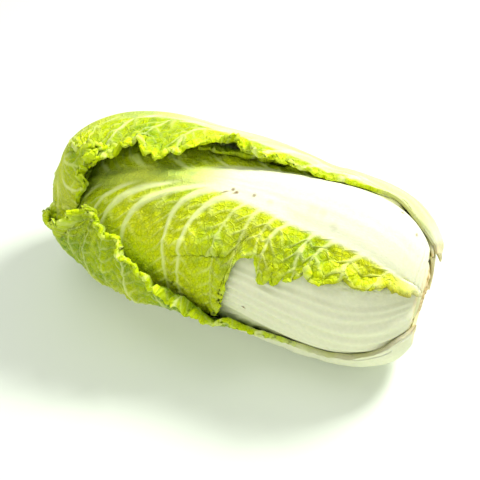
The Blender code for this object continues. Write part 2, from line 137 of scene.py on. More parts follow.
@dataclass(kw_only=True)
class Leaf:
    """One wrapper leaf. Each list holds (distance from the stem along the rib, value) points.

    The leaf has two sides: `less` towards smaller angles round the head, and `more` towards larger.
    `grid` counts rows, columns across the rib, and columns on the `less` and the `more` side. `rib` is half
    the rib's width, `ridges` the height of its lengthwise ridges and `ribs` their number. `white_reach` is
    how far its white spreads over the blade, and `whiteness` how white it is. `fold` is a pleat: (first and
    last distance from the stem, place across, height, width). `hood` is how high over the heart the leaf is
    held, `tuck` how much of that its free edges lose, and `bow` how far its middle line bends aside.
    """

    name: str
    seed: int
    grid: tuple
    base_gap: float
    length: float
    angle: Sequence
    rib: Sequence
    rib_thickness: Sequence
    ridges: float
    ribs: int
    less: Sequence
    more: Sequence
    veins_less: Sequence
    veins_more: Sequence
    lift_less: Sequence = FLAT
    lift_more: Sequence = FLAT
    wave_less: Sequence = FLAT
    wave_more: Sequence = FLAT
    frill_less: Sequence = FLAT
    frill_more: Sequence = FLAT
    roll_less: Sequence = FLAT
    roll_more: Sequence = FLAT
    dark: float
    yellow: float
    spots: Sequence = ()
    lobes: float = 0.003
    white_reach: float = 0.0035
    whiteness: float = 1.0
    fold: Sequence = ()
    hood: Sequence = ()
    tuck: float = 0.0
    bow: Sequence = ()


HIDDEN_BLADE = [
    (0, 0.001), (0.05, 0.006), (0.10, 0.021), (0.16, 0.045), (0.22, 0.055), (0.26, 0.040), (0.285, 0.006),
]
HIDDEN_RIB = [(0, 0.020), (0.03, 0.028), (0.10, 0.028), (0.18, 0.018), (0.24, 0.008), (0.30, 0.002)]
RIB_THICKNESS = [(0, 0.0040), (0.03, 0.0055), (0.12, 0.0050), (0.18, 0.0032), (0.24, 0.0016), (0.30, 0.0006)]

# Side veins of the top leaf's front side: (start, run towards the tip, bend, strength). A vein leaves the
# rib's edge at its start, nearly along the rib, and has turned across after a few times its bend.
TOP_VEINS = (
    (0.016, 0.026, 0.013, 0.7),
    (0.036, 0.030, 0.015, 0.9),
    (0.053, 0.034, 0.015, 0.9),
    (0.070, 0.022, 0.010, 1.0),
    (0.087, 0.029, 0.012, 1.0),
    (0.099, 0.022, 0.011, 0.7),
    (0.111, 0.022, 0.011, 0.9),
    (0.122, 0.026, 0.012, 0.8),
    (0.132, 0.042, 0.014, 1.5),
    (0.145, 0.038, 0.008, 1.5),
    (0.155, 0.061, 0.0078, 1.6),
    (0.187, 0.048, 0.010, 1.5),
    (0.212, 0.036, 0.012, 1.0),
    (0.238, 0.028, 0.012, 0.8),
    (0.262, 0.018, 0.012, 0.6),
)


def plain_veins(first, count, last=0.275, run=0.032, bend=0.013, strongest=1.1):
    """Evenly spaced side veins from the first one's start to the last one's, closer towards the tip."""
    share = np.linspace(0, 1, count)
    start = first + (last - first) * (1 - (1 - share) ** 1.15)
    strength = strongest * np.resize([1.0, 0.8, 1.1, 0.7], count) * (1 - 0.4 * share)
    return [(s, run, bend, k) for s, k in zip(start, strength)]


TOP_WAVE = [(0, 0.0002), (0.03, 0.0010), (0.095, 0.0012), (0.12, 0.0002), (0.29, 0.0)]

# Brown specks on the top leaf's rib: (start along the rib, distance across, radius, strength).
TOP_SPOTS = (
    (0.1425, 0.0140, 0.0013, 0.9),
    (0.1455, 0.0120, 0.0012, 0.8),
    (0.1480, 0.0145, 0.0012, 0.8),
    (0.130, 0.014, 0.0012, 0.7),
    (0.118, 0.017, 0.0024, 0.18),
    (0.089, 0.015, 0.0036, 0.14),
    (0.082, 0.015, 0.0030, 0.16),
    (0.072, 0.021, 0.0024, 0.16),
    (0.036, -0.015, 0.0014, 1.0),
    (0.022, -0.004, 0.0011, 0.8),
)
FRONT_SPOTS = ((0.119, 0.007, 0.0012, 1.0), (0.06, 0.010, 0.0009, 0.5))

LEAF_FRONT = Leaf(
    name="leaf_front",
    seed=3,
    grid=(260, 60, 26, 26),
    base_gap=0.0012,
    length=0.275,
    angle=[(0, 96), (0.04, 95), (0.07, 91), (0.10, 85), (0.135, 77), (0.20, 71), (0.30, 68)],
    rib=[
        (0, 0.020), (0.02, 0.028), (0.07, 0.029), (0.10, 0.024), (0.14, 0.017), (0.20, 0.008),
        (0.30, 0.002),
    ],
    rib_thickness=RIB_THICKNESS,
    ridges=0.0018,
    ribs=7,
    less=[
        (0, 0.002), (0.02, 0.008), (0.08, 0.016), (0.14, 0.035), (0.20, 0.050), (0.24, 0.045),
        (0.275, 0.006),
    ],
    more=[(0, 0.001), (0.06, 0.008), (0.12, 0.040), (0.20, 0.060), (0.24, 0.050), (0.275, 0.006)],
    veins_less=plain_veins(0.075, 8),
    veins_more=plain_veins(0.075, 8),
    dark=0.55,
    yellow=0.1,
    spots=FRONT_SPOTS,
    white_reach=0.014,
)

LEAF_BACK_LOW = Leaf(
    name="leaf_back_low",
    seed=5,
    grid=(150, 26, 26, 26),
    base_gap=0.0018,
    length=0.285,
    angle=[(0, 232), (0.30, 228)],
    rib=HIDDEN_RIB,
    rib_thickness=RIB_THICKNESS,
    ridges=0.0006,
    ribs=6,
    less=HIDDEN_BLADE,
    more=HIDDEN_BLADE,
    veins_less=plain_veins(0.06, 9),
    veins_more=plain_veins(0.06, 9),
    dark=0.4,
    yellow=0.1,
)

LEAF_TOP = Leaf(
    name="leaf_top",
    seed=7,
    grid=(400, 32, 14, 72),
    base_gap=0.0024,
    length=0.288,
    angle=[
        (0, -1), (0.05, -1), (0.09, -3), (0.134, -1), (0.161, 3), (0.183, 10), (0.204, 17), (0.24, 26),
        (0.30, 32),
    ],
    rib=[
        (0, 0.020), (0.02, 0.026), (0.05, 0.027), (0.09, 0.025), (0.134, 0.016), (0.161, 0.010),
        (0.19, 0.006), (0.30, 0.002),
    ],
    rib_thickness=RIB_THICKNESS,
    ridges=0.0004,
    ribs=6,
    less=[
        (0, 0.001), (0.05, 0.003), (0.12, 0.016), (0.18, 0.042), (0.22, 0.050), (0.26, 0.040),
        (0.288, 0.006),
    ],
    more=[
        (0, 0.002), (0.015, 0.008), (0.031, 0.020), (0.046, 0.028), (0.068, 0.034), (0.084, 0.040),
        (0.097, 0.032), (0.104, 0.034), (0.113, 0.074), (0.15, 0.080), (0.22, 0.070), (0.26, 0.045),
        (0.288, 0.006),
    ],
    veins_less=plain_veins(0.06, 9),
    veins_more=TOP_VEINS,
    wave_less=TOP_WAVE,
    wave_more=TOP_WAVE,
    frill_more=[(0, 0.0004), (0.01, 0.0012), (0.05, 0.0015), (0.08, 0.0010), (0.125, 0.0), (0.30, 0.0)],
    dark=0.13,
    yellow=0.20,
    spots=TOP_SPOTS,
    lobes=0.0038,
    fold=(0.108, 0.165, 0.052, 0.0050, 0.018),
)

LEAF_BACK = Leaf(
    name="leaf_back",
    seed=9,
    grid=(220, 30, 30, 36),
    base_gap=0.0030,
    length=0.284,
    angle=[(0, 278), (0.30, 272)],
    rib=HIDDEN_RIB,
    rib_thickness=RIB_THICKNESS,
    ridges=0.0006,
    ribs=6,
    less=HIDDEN_BLADE,
    more=HIDDEN_BLADE,
    veins_less=plain_veins(0.06, 9),
    veins_more=plain_veins(0.06, 9),
    dark=0.4,
    yellow=0.1,
)

LEAF_BOTTOM = Leaf(
    name="leaf_bottom",
    seed=11,
    grid=(400, 26, 64, 18),
    base_gap=0.0042,
    length=0.291,
    angle=[(0, 151), (0.06, 151), (0.10, 154), (0.20, 155), (0.30, 150)],
    rib=[(0, 0.020), (0.02, 0.031), (0.10, 0.031), (0.18, 0.020), (0.24, 0.009), (0.30, 0.002)],
    rib_thickness=[
        (0, 0.0050), (0.02, 0.0095), (0.08, 0.0085), (0.14, 0.0045), (0.22, 0.0020), (0.30, 0.0006),
    ],
    ridges=0.0006,
    ribs=6,
    less=[
        (0, 0.002), (0.03, 0.006), (0.06, 0.009), (0.09, 0.015), (0.12, 0.031), (0.16, 0.057),
        (0.19, 0.075), (0.225, 0.078), (0.255, 0.063), (0.28, 0.041), (0.293, 0.024), (0.302, 0.010),
    ],
    more=[
        (0, 0.001), (0.05, 0.006), (0.10, 0.022), (0.16, 0.045), (0.22, 0.044), (0.26, 0.026),
        (0.285, 0.012), (0.302, 0.006),
    ],
    veins_less=plain_veins(0.02, 13, 0.27, 0.062, 0.024, 1.5),
    veins_more=plain_veins(0.05, 10),
    lift_less=[(0, 0), (0.06, 0.0), (0.12, 0.003), (0.20, 0.007), (0.25, 0.007), (0.302, 0.0)],
    wave_less=[(0, 0.0), (0.09, 0.0), (0.13, 0.0012), (0.302, 0.0016)],
    frill_less=[(0, 0.0), (0.08, 0.0004), (0.12, 0.0016), (0.15, 0.0024), (0.26, 0.0022), (0.297, 0.0008)],
    roll_less=[(0, 0), (0.07, 0), (0.11, 60), (0.16, 115), (0.24, 115), (0.275, 50), (0.297, 10)],
    dark=0.45,
    yellow=0.05,
    white_reach=0.010,
    hood=[(0, 0), (0.20, 0.0), (0.225, 0.006), (0.25, 0.014), (0.27, 0.018), (0.285, 0.014), (0.302, 0.008)],
)

LEAF_TOP_BACK = Leaf(
    name="leaf_top_back",
    seed=13,
    grid=(400, 28, 26, 64),
    base_gap=0.0036,
    length=0.334,
    angle=[(0, -62), (0.10, -61), (0.16, -60), (0.20, -60), (0.25, -62), (0.30, -76), (0.335, -84)],
    rib=[
        (0, 0.008), (0.01, 0.014), (0.03, 0.023), (0.10, 0.024), (0.16, 0.018), (0.22, 0.010),
        (0.28, 0.0045), (0.334, 0.002),
    ],
    rib_thickness=[
        (0, 0.0040), (0.03, 0.0075), (0.12, 0.0085), (0.18, 0.0052), (0.24, 0.0028), (0.33, 0.0008),
    ],
    ridges=0.0012,
    ribs=7,
    less=[
        (0, 0.001), (0.05, 0.008), (0.10, 0.025), (0.16, 0.046), (0.21, 0.048), (0.24, 0.044),
        (0.27, 0.037), (0.30, 0.028), (0.334, 0.012),
    ],
    more=[
        (0, 0.001), (0.05, 0.003), (0.069, 0.008), (0.082, 0.012), (0.10, 0.013), (0.119, 0.020),
        (0.155, 0.024), (0.168, 0.040), (0.18, 0.043), (0.201, 0.036), (0.215, 0.038), (0.24, 0.036),
        (0.27, 0.038), (0.296, 0.038), (0.314, 0.030), (0.326, 0.023), (0.334, 0.014),
    ],
    veins_less=plain_veins(0.05, 11, 0.325),
    veins_more=plain_veins(0.06, 12, 0.325),
    lift_less=[(0, 0), (0.06, 0.002), (0.16, 0.004), (0.33, 0.004)],
    lift_more=[(0, 0), (0.10, 0.0), (0.13, 0.003), (0.17, 0.005), (0.21, 0.006), (0.33, 0.003)],
    wave_less=[(0, 0.0), (0.05, 0.0005), (0.10, 0.0012), (0.33, 0.0018)],
    wave_more=[(0, 0.0), (0.08, 0.0), (0.12, 0.0010), (0.33, 0.0018)],
    frill_less=[(0, 0), (0.05, 0.001), (0.334, 0.0020)],
    frill_more=[(0, 0), (0.07, 0.0003), (0.11, 0.0018), (0.334, 0.0021)],
    roll_more=[
        (0, 0), (0.08, 0), (0.105, 90), (0.125, 120), (0.14, 50), (0.17, 35), (0.205, 30), (0.222, 90),
        (0.235, 125), (0.25, 80), (0.27, 50), (0.334, 70),
    ],
    dark=0.46,
    yellow=0.08,
    whiteness=0.38,
    hood=[
        (0, 0), (0.08, 0.003), (0.11, 0.009), (0.15, 0.014), (0.19, 0.016), (0.225, 0.020), (0.25, 0.0245),
        (0.275, 0.0275), (0.30, 0.023), (0.32, 0.015), (0.335, 0.008),
    ],
    tuck=0.45,
    bow=[(0, 0), (0.10, 0), (0.16, 0.005), (0.20, 0.012), (0.24, 0.022), (0.27, 0.026), (0.335, 0.025)],
)

LEAVES = (LEAF_FRONT, LEAF_BACK_LOW, LEAF_TOP, LEAF_BACK, LEAF_TOP_BACK, LEAF_BOTTOM)


def srgb(red, green, blue):
    """A colour given as 0 to 255 in the usual screen encoding, as linear light."""
    share = np.array([red, green, blue]) / 255
    linear = np.where(share <= 0.04045, share / 12.92, ((share + 0.055) / 1.055) ** 2.4)
    return (*linear.tolist(), 1.0)


LIME = srgb(212, 230, 0)
DEEP_GREEN = srgb(98, 148, 0)
YELLOW_GREEN = srgb(222, 222, 30)
BRIGHT_EDGE = srgb(206, 230, 0)
PALE_VEIN = srgb(232, 241, 160)
RIB_WHITE = srgb(241, 243, 208)
BROWN = srgb(124, 92, 30)
HEART_GREEN = srgb(190, 204, 60)
CREAM = srgb(238, 240, 188)
# Olive for painted shade in the creases of the fine net.
CREASE_SHADE_OLIVE = srgb(146, 174, 0)
NET_GREEN = srgb(220, 234, 30)
STEM_TAN = srgb(232, 220, 172)
STEM_BROWN = srgb(196, 164, 92)


def smooth_curve(points, at):
    """A smooth line through (place, value) points, read at the given places, with no overshoot."""
    place, value = np.array(points, float).T
    slope = np.diff(value) / np.diff(place)
    lean = np.concatenate([slope[:1], (slope[1:] + slope[:-1]) / 2, slope[-1:]])
    lean[1:-1][slope[1:] * slope[:-1] <= 0] = 0
    i = np.clip(np.searchsorted(place, at) - 1, 0, len(place) - 2)
    step = place[i + 1] - place[i]
    t = np.clip((at - place[i]) / step, 0, 1)
    return (
        value[i] * (1 + 2 * t) * (1 - t) ** 2
        + lean[i] * step * t * (1 - t) ** 2
        + value[i + 1] * t * t * (3 - 2 * t)
        + lean[i + 1] * step * t * t * (t - 1)
    )


def by_side(side, less, more, at):
    """Reads one of two curves, by the side of the leaf."""
    return np.where(side > 0, smooth_curve(more, at), smooth_curve(less, at))


def smooth_step(t):
    """Rises smoothly from 0 to 1."""
    t = np.clip(t, 0, 1)
    return t * t * (3 - 2 * t)


def noise(u, v, seed):
    """Smooth noise from -1 to 1 over a unit lattice."""
    values = np.random.default_rng(seed).uniform(-1, 1, (NOISE_LATTICE, NOISE_LATTICE))
    i, j = np.floor(u).astype(int), np.floor(v).astype(int)
    a, b = smooth_step(u - i), smooth_step(v - j)
    i, j = i % NOISE_LATTICE, j % NOISE_LATTICE
    k, m = (i + 1) % NOISE_LATTICE, (j + 1) % NOISE_LATTICE
    near = values[i, j] * (1 - b) + values[i, m] * b
    far = values[k, j] * (1 - b) + values[k, m] * b
    return near * (1 - a) + far * a


def cell_walls(u, v, seed):
    """A net of irregular cells: (nearness to a wall, nearness to a cell's middle), each from 0 to 1."""
    jitter = np.random.default_rng(seed).uniform(0.1, 0.9, (CELL_LATTICE, CELL_LATTICE, 2))
    i, j = np.floor(u).astype(int), np.floor(v).astype(int)
    nearest = np.full(u.shape, 9.0)
    second = np.full(u.shape, 9.0)
    for di in (-1, 0, 1):
        for dj in (-1, 0, 1):
            point = jitter[(i + di) % CELL_LATTICE, (j + dj) % CELL_LATTICE]
            far = np.hypot(i + di + point[..., 0] - u, j + dj + point[..., 1] - v)
            second = np.minimum(second, np.maximum(far, nearest))
            nearest = np.minimum(nearest, far)
    return np.exp(-(((second - nearest) / 0.15) ** 2)), np.clip(1 - (nearest / 0.70) ** 2, 0, 1)


def heart_outline():
    """Distance along the heart's outline from the stem, with x, radius and normal (x, r) there."""
    x = HEART_LENGTH * (1 - np.cos(np.linspace(0, np.pi, 2001))) / 2
    stem_end = np.clip(1 - x / STEM_END_ROUND, 0, 1) ** STEM_END_POWER
    tip_end = np.clip(1 - (HEART_LENGTH - x) / TIP_END_ROUND, 0, 1) ** TIP_END_POWER
    r = HEART_RADIUS * np.sqrt((1 - stem_end) * (1 - tip_end))
    kept = (r >= STEM_RADIUS) | (x > HEART_LENGTH / 2)
    x, r = x[kept], r[kept]
    step = np.hypot(np.diff(x), np.diff(r))
    along = np.concatenate([[0], np.cumsum(step)])
    dx, dr = np.gradient(x, along), np.gradient(r, along)
    size = np.hypot(dx, dr)
    return along, x - x[0], r, -dr / size, dx / size


OUTLINE = heart_outline()
PATH = OUTLINE[0][-1]


def on_heart(to_tip, angle):
    """Points of the heart and its outward normals, at distances from its tip and angles in radians."""
    x, r, normal_x, normal_r = (np.interp(PATH - to_tip, OUTLINE[0], o) for o in OUTLINE[1:])
    sin, cos = np.sin(angle), np.cos(angle)
    point = np.stack([-x, -r * sin, r * cos], axis=-1)
    normal = np.stack([-normal_x, -normal_r * sin, normal_r * cos], axis=-1)
    return point, normal


def leaf_on_heart(leaf, along, across):
    """Where a leaf's own coordinates fall on the heart: (distance from the tip, angle in radians)."""
    to_go = PATH - along
    across = across + (smooth_curve(leaf.bow, along) if leaf.bow else 0)
    radius = np.interp(PATH - np.abs(to_go), OUTLINE[0], OUTLINE[2])
    spread = across * np.maximum(np.abs(to_go), 1e-6) / np.maximum(radius, 1e-6)
    bend = np.maximum(np.maximum(to_go, 0) / (to_go**2 + TIP_FLAT**2), 1e-4)
    ahead = to_go - (1 - np.cos(bend * spread)) / bend
    aside = np.sin(bend * spread) / bend
    turn = np.radians(smooth_curve(leaf.angle, along))
    return np.hypot(ahead, aside), np.arctan2(aside, ahead) + turn


class Layout:
    """A leaf's fine grid in its own flat coordinates, each attribute a (rows, columns) array.

    `start` is the distance from the stem along the rib, and `side` is 1 on the leaf's `more` side, else -1.
    `out` is the distance from the rib over the blade, `share` the same as a share of the blade's width
    `edge`, and `from_edge` the distance from the free edge. `along` and `across` are where the point lies
    once the veins have swept forward and the edge has curled. `roll_rise` is how far the curl lifts it,
    and `rolled` how tight the curl is.
    """

    def __init__(self, leaf, detail):
        rows, rib, less, more = (max(6, int(count * detail)) for count in leaf.grid)
        left, right = (1 + (1 - (1 - np.linspace(0, 1, n + 1)[1:]) ** EDGE_CROWDING) for n in (less, more))
        column = np.concatenate([-left[::-1], np.linspace(-1, 1, rib + 1), right])
        self.start, column = np.meshgrid(np.linspace(0, leaf.length, rows), column, indexing="ij")
        self.side = np.where(column < 0, -1.0, 1.0)
        self.share = np.clip(np.abs(column) - 1, 0, 1)
        self.rib = smooth_curve(leaf.rib, self.start)
        self.edge = self.edge_distance(leaf)
        rolled = self.roll(leaf)
        self.across = self.side * (np.minimum(np.abs(column), 1) * self.rib + rolled)
        self.along = leaf.base_gap + self.start + self.sweep(leaf)

    def edge_distance(self, leaf):
        """From the rib to the free edge, which has round lobes, narrow notches and fine teeth."""
        edge = by_side(self.side, leaf.less, leaf.more, self.start)
        seed = leaf.seed + 100 * (self.side > 0)
        phase = self.start / LOBE_SPACING + 0.5 * noise(self.start / 0.022, seed, leaf.seed)
        lobe = 1.8 * np.abs(np.sin(np.pi * phase)) ** 0.6 - 1.2
        tooth = TOOTH_DEPTH * noise(self.start / TOOTH_SPACING, seed, leaf.seed + 1)
        fine = SMALL_TOOTH_DEPTH * noise(self.start / SMALL_TOOTH_SPACING, seed, leaf.seed + 3)
        ragged = (leaf.lobes * lobe + tooth + fine) * np.minimum(1, edge / 0.02)
        return np.maximum(edge + ragged, LEAST_BLADE)

    def sweep(self, leaf):
        """How far a side vein has run towards the tip."""
        sweep = VEIN_REACH * (1 - np.exp(-VEIN_SLANT * self.out / VEIN_REACH))
        fade = 1 - smooth_step((self.start / leaf.length - 0.78) / 0.22)
        return sweep * smooth_step(self.start / 0.05) * fade

    def roll(self, leaf):
        """Curls a strip along the free edge outwards, and gives how far out each point then lies.

        The blade is longer by what the curl takes up, so it reaches as far out as the plain leaf.
        """
        width = np.minimum(ROLL_WIDTH, 0.6 * self.edge)
        turn = np.radians(by_side(self.side, leaf.roll_less, leaf.roll_more, self.start))
        wobble = 1 + 0.45 * noise(self.start / 0.013, self.side * 5.1, leaf.seed + 2)
        turn = np.maximum(turn * wobble, 1e-3)
        radius = width / turn
        flat = self.edge - radius * np.sin(np.minimum(turn, np.pi / 2))
        self.edge = flat + width
        self.out = self.share * self.edge
        self.from_edge = self.edge - self.out
        angle = np.clip(self.out - flat, 0, None) / radius
        self.roll_rise = radius * (1 - np.cos(angle))
        self.rolled = smooth_step(turn / np.pi)
        return np.minimum(self.out, flat) + radius * np.sin(angle)


def patches(leaf, at, size, number):
    """Smooth noise over the blade, in patches of one size. Each number gives another pattern."""
    return noise(at.along / size, at.across / size, leaf.seed + number)


def side_veins(leaf, at):
    """The raised veins as (main veins, their branches)."""
    shape = at.start.shape
    main, nearest = np.zeros(shape), np.full(shape, 1.0)
    wander = 0.0012 * patches(leaf, at, 0.012, 5)
    for sign, veins in ((-1, leaf.veins_less), (1, leaf.veins_more)):
        for start, run, bend, strength in veins:
            rib = float(smooth_curve(leaf.rib, np.array([start]))[0])
            out = sign * at.across - 0.75 * rib
            turned = np.exp(-np.maximum(out, 0) / bend)
            gap = at.along - leaf.base_gap - start - run * (1 - turned) + wander
            far = np.abs(gap) / np.hypot(1, run / bend * turned)
            width = VEIN_WIDTH * strength * (0.30 + 0.70 * np.exp(-np.maximum(out, 0) / VEIN_NARROWS_OVER))
            height = strength * (0.35 + 0.65 * np.exp(-np.maximum(out, 0) / VEIN_SINKS_OVER)) * (out > 0)
            main = np.maximum(main, height * smooth_step(out / 0.004) * np.exp(-((far / width) ** 3)))
            nearest = np.where(out > 0, np.minimum(nearest, far), nearest)
    bent = 0.0020 * patches(leaf, at, 0.010, 6)
    phase = (at.out - 0.8 * nearest + bent) / BRANCH_SPACING
    branch = np.exp(-(((phase - np.round(phase)) * BRANCH_SPACING / BRANCH_WIDTH) ** 2))
    branch = branch * smooth_step(at.out / 0.006) * smooth_step((at.edge - 0.008) / 0.01)
    return main, branch * np.clip(1.2 - nearest / 0.012, 0.25, 1)


def net(leaf, at):
    """The net between the veins: (walls from 0 to 1, swelling of the cells from 0 to 1)."""
    warp = 0.35 * patches(leaf, at, 0.008, 7)
    walls, swell = cell_walls(at.along / NET_SPACING + warp, at.across / NET_SPACING - warp, leaf.seed + 8)
    begin = smooth_step(at.out / 0.010)
    return walls * begin, swell * begin


def crinkle(leaf, at):
    """Soft puckers of the blade, stronger towards its free edge."""
    coarse = patches(leaf, at, WIDE_PUCKER, 9)
    middle = 1 - 2 * np.abs(patches(leaf, at, NARROW_PUCKER, 10))
    size = CRINKLE_HEIGHT * (0.6 + 0.8 * smooth_step(1 - at.from_edge / 0.022))
    return size * (0.7 * coarse + 0.5 * middle) * smooth_step(at.out / 0.012)


def frill(leaf, at):
    """Ruffles of the free edge, tighter than those of the plain model."""
    size = by_side(at.side, leaf.frill_less, leaf.frill_more, at.start)
    long = noise(at.start / LONG_FRILL, at.side * 2.2 + at.from_edge / 0.02, leaf.seed + 11)
    short = noise(at.start / SHORT_FRILL, at.side * 4.4 + at.from_edge / 0.006, leaf.seed + 12)
    bubble = np.abs(noise(at.start / BUBBLE, at.from_edge / 0.0030, leaf.seed + 15))
    ruffle = 1.1 * long + 0.8 * short + 1.3 * bubble + 0.4
    return size * ruffle * smooth_step(1 - at.from_edge / FRILL_WIDTH)


def rib_height(leaf, at):
    """How much thicker than the blade the rib is: a low arch of rounded lengthwise ridges."""
    t = at.across / at.rib
    arch = np.clip(1 - (t / ARCH_REACH) ** 2, 0, 1) ** ARCH_POWER
    wander = 0.16 * noise(at.along / 0.09, t * 2.3, leaf.seed + 13) + 0.10 * noise(t * 3.1, 0.5, leaf.seed)
    ridge = 0.5 - 0.5 * np.cos(np.pi * leaf.ribs * (t + 1 + wander))
    ridge = ridge * (0.75 + 0.5 * noise(at.along / 0.08, t * 2.9, leaf.seed + 16))
    grain = RIB_GRAIN * noise(at.along / 0.05, at.across / 0.0016, leaf.seed + 14)
    fade = smooth_step(at.start / 0.02) * smooth_step((at.rib - 0.004) / 0.010)
    relief = (leaf.ridges * (ridge - 0.5) + grain) * arch**0.5 * fade
    cut_end = 0.3 + 0.7 * smooth_step(at.start / 0.007)
    return smooth_curve(leaf.rib_thickness, at.start) * arch * cut_end + relief


def edge_rise(leaf, at):
    """How far the blade stands off what it lies on: a lift of the free edge, with a ruffle on it."""
    lift = by_side(at.side, leaf.lift_less, leaf.lift_more, at.start) * (1 - 0.6 * at.rolled)
    wave = by_side(at.side, leaf.wave_less, leaf.wave_more, at.start)
    shift = np.random.default_rng(leaf.seed).uniform(0, 2 * np.pi, 2)
    turn = 2 * np.pi * at.start / WAVE_LENGTH + np.where(at.side > 0, shift[0], shift[1])
    ruffle = 1 + np.sin(turn) + 0.5 * np.sin(1.9 * turn)
    return lift * at.share**1.6 + wave * ruffle * smooth_step((at.share - 0.4) / 0.6)


def fold_rise(leaf, at):
    """A pleat along the blade: it swells towards the pleat's line and drops off sharply beyond it."""
    if not leaf.fold:
        return 0.0
    first, last, place, height, width = leaf.fold
    reach = smooth_step((at.start - first) / 0.012) * smooth_step((last - at.start) / 0.03)
    before = smooth_step(1 - (place - at.across) / width) * (at.across <= place)
    beyond = smooth_step(1 - (at.across - place) / 0.0035) * (at.across > place)
    return height * reach * (before + beyond)


def hood_height(leaf, at):
    """How high over the heart the leaf is held near its tip, lower towards its free edges."""
    if not leaf.hood:
        return 0.0
    return smooth_curve(leaf.hood, at.start) * (1 - leaf.tuck * at.share**2)


def windowed(values, radius, combine):
    """Combines each value with its neighbours within a radius along both axes."""
    for axis in (0, 1):
        pad = [(radius, radius) if a == axis else (0, 0) for a in (0, 1)]
        padded = np.pad(values, pad, mode="edge")
        size = values.shape[axis]
        values = combine([np.take(padded, range(k, k + size), axis) for k in range(2 * radius + 1)])
    return values


def enlarged(coarse, shape):
    """A coarse grid stretched to a finer one."""
    for axis in (0, 1):
        at = np.linspace(0, coarse.shape[axis] - 1, shape[axis])
        low = np.minimum(at.astype(int), coarse.shape[axis] - 2)
        share = np.expand_dims(at - low, 1 - axis)
        coarse = np.take(coarse, low, axis) * (1 - share) + np.take(coarse, low + 1, axis) * share
    return coarse


def ground_height(trees, base, normal):
    """How high the pieces already placed reach over the heart, smoothed but nowhere lowered."""
    rows = np.linspace(0, base.shape[0] - 1, base.shape[0] // 2).round().astype(int)
    columns = np.linspace(0, base.shape[1] - 1, base.shape[1] // 2).round().astype(int)
    points, ways = base[rows][:, columns], normal[rows][:, columns]
    reach = 0.09
    heights = np.zeros(points.shape[:2])
    for index in np.ndindex(heights.shape):
        away = Vector(ways[index])
        start = Vector(points[index]) + away * reach
        for tree in trees:
            hit = tree.ray_cast(start, -away, reach)
            if hit[0] is not None:
                heights[index] = max(heights[index], reach - hit[3])
    radius = max(1, len(rows) // 55)
    heights = windowed(heights, radius, lambda stack: np.max(stack, axis=0))
    heights = windowed(heights, radius, lambda stack: np.mean(stack, axis=0))
    return enlarged(heights, base.shape[:2])


def sheet_normals(sheet):
    """Outward unit normals of a grid of points."""
    along_rows = np.gradient(sheet, axis=0)
    along_columns = np.gradient(sheet, axis=1)
    normal = np.cross(along_rows, along_columns)
    return normal / np.maximum(np.linalg.norm(normal, axis=-1, keepdims=True), 1e-12)


def leaf_surfaces(leaf, at, trees):
    """The leaf's outer and inner surface points, and the paint for each point."""
    base, normal = on_heart(*leaf_on_heart(leaf, at.along, at.across))
    ground = ground_height(trees, base, normal)
    held = np.maximum(hood_height(leaf, at) - ground, 0)
    rise = edge_rise(leaf, at) + fold_rise(leaf, at) + held
    loose = np.minimum(1, rise / 0.003)
    pucker = crinkle(leaf, at)
    rise = np.maximum(rise + pucker * loose + frill(leaf, at), 0) + at.roll_rise
    inner = base + normal * (ground + CLEAR + rise)[..., None]
    facing = sheet_normals(inner)
    main, branch = side_veins(leaf, at)
    walls, swell = net(leaf, at)
    between = 1 - np.minimum(main, 1)
    lines = BRANCH_HEIGHT * branch + NET_HEIGHT * walls + SWELL_HEIGHT * swell
    raised = VEIN_HEIGHT * main * smooth_step(at.out / 0.009)
    thick = BLADE_THICKNESS + raised + lines * between + np.maximum(pucker, 0) * (1 - loose)
    outer = inner + facing * thick[..., None] + normal * rib_height(leaf, at)[..., None]
    return outer, inner, leaf_paint(leaf, at, main, branch, walls)


def rib_whiteness(leaf, at):
    """How white the rib and the blade beside it are, with streaks along the rib."""
    spread = leaf.white_reach * (1 + 0.4 * patches(leaf, at, 0.02, 20))
    on_rib = smooth_step(1.3 - at.out / spread)
    rib_end = smooth_step((at.rib - 0.005) / 0.009)
    near_stem = smooth_step(1.2 - at.start / 0.025)
    streak = 0.5 + 0.5 * noise(at.along / 0.06, at.across / 0.0024, leaf.seed + 24)
    whiteness = leaf.whiteness + (1 - leaf.whiteness) * np.maximum(0.8 * near_stem, 0.6 * streak)
    white = on_rib * (0.12 + 0.88 * rib_end) * whiteness
    return np.maximum(white, 0.7 * near_stem * smooth_step(1 - at.out / 0.02))


def blade_tones(leaf, at, edge, net_wall_shade):
    """How dark and how yellow the green is: lighter at the edge, darker along the net's walls as painted
    shade in its creases, and both stronger near the stem.
    """
    patch, cell = patches(leaf, at, 0.022, 21), patches(leaf, at, 0.005, 22)
    # The net's walls darken the green: painted shade in the creases.
    dark = leaf.dark + 0.40 * patch + 0.30 * cell - 0.35 * edge + 0.2 * net_wall_shade
    dark = np.clip(dark + 0.35 * smooth_step(1 - at.start / 0.08), 0, 1)
    broad = patches(leaf, at, 0.03, 23)
    yellow = np.clip(leaf.yellow + 0.4 * broad + 0.5 * smooth_step(1 - at.start / 0.06), 0, 1)
    return dark, yellow


def brown_marks(leaf, at):
    """The brown specks, and the dry free edge near the stem."""
    dry = smooth_step(1 - at.from_edge / 0.0020) * smooth_step(1.3 - at.start / 0.07)
    spot = 0.4 * dry * smooth_step(at.out / 0.002)
    for start, across, radius, strength in leaf.spots:
        far = np.hypot(at.start - start, at.across - across)
        spot = np.maximum(spot, strength * smooth_step(1.5 - far / radius))
    return spot


def cut_end(leaf, at):
    """The leaf's own end at the stem, which is ragged and tan."""
    ragged = 0.0045 * (1 + 0.5 * noise(at.across / 0.003, at.start / 0.003, leaf.seed + 25))
    return smooth_step(1.6 - at.start / ragged)


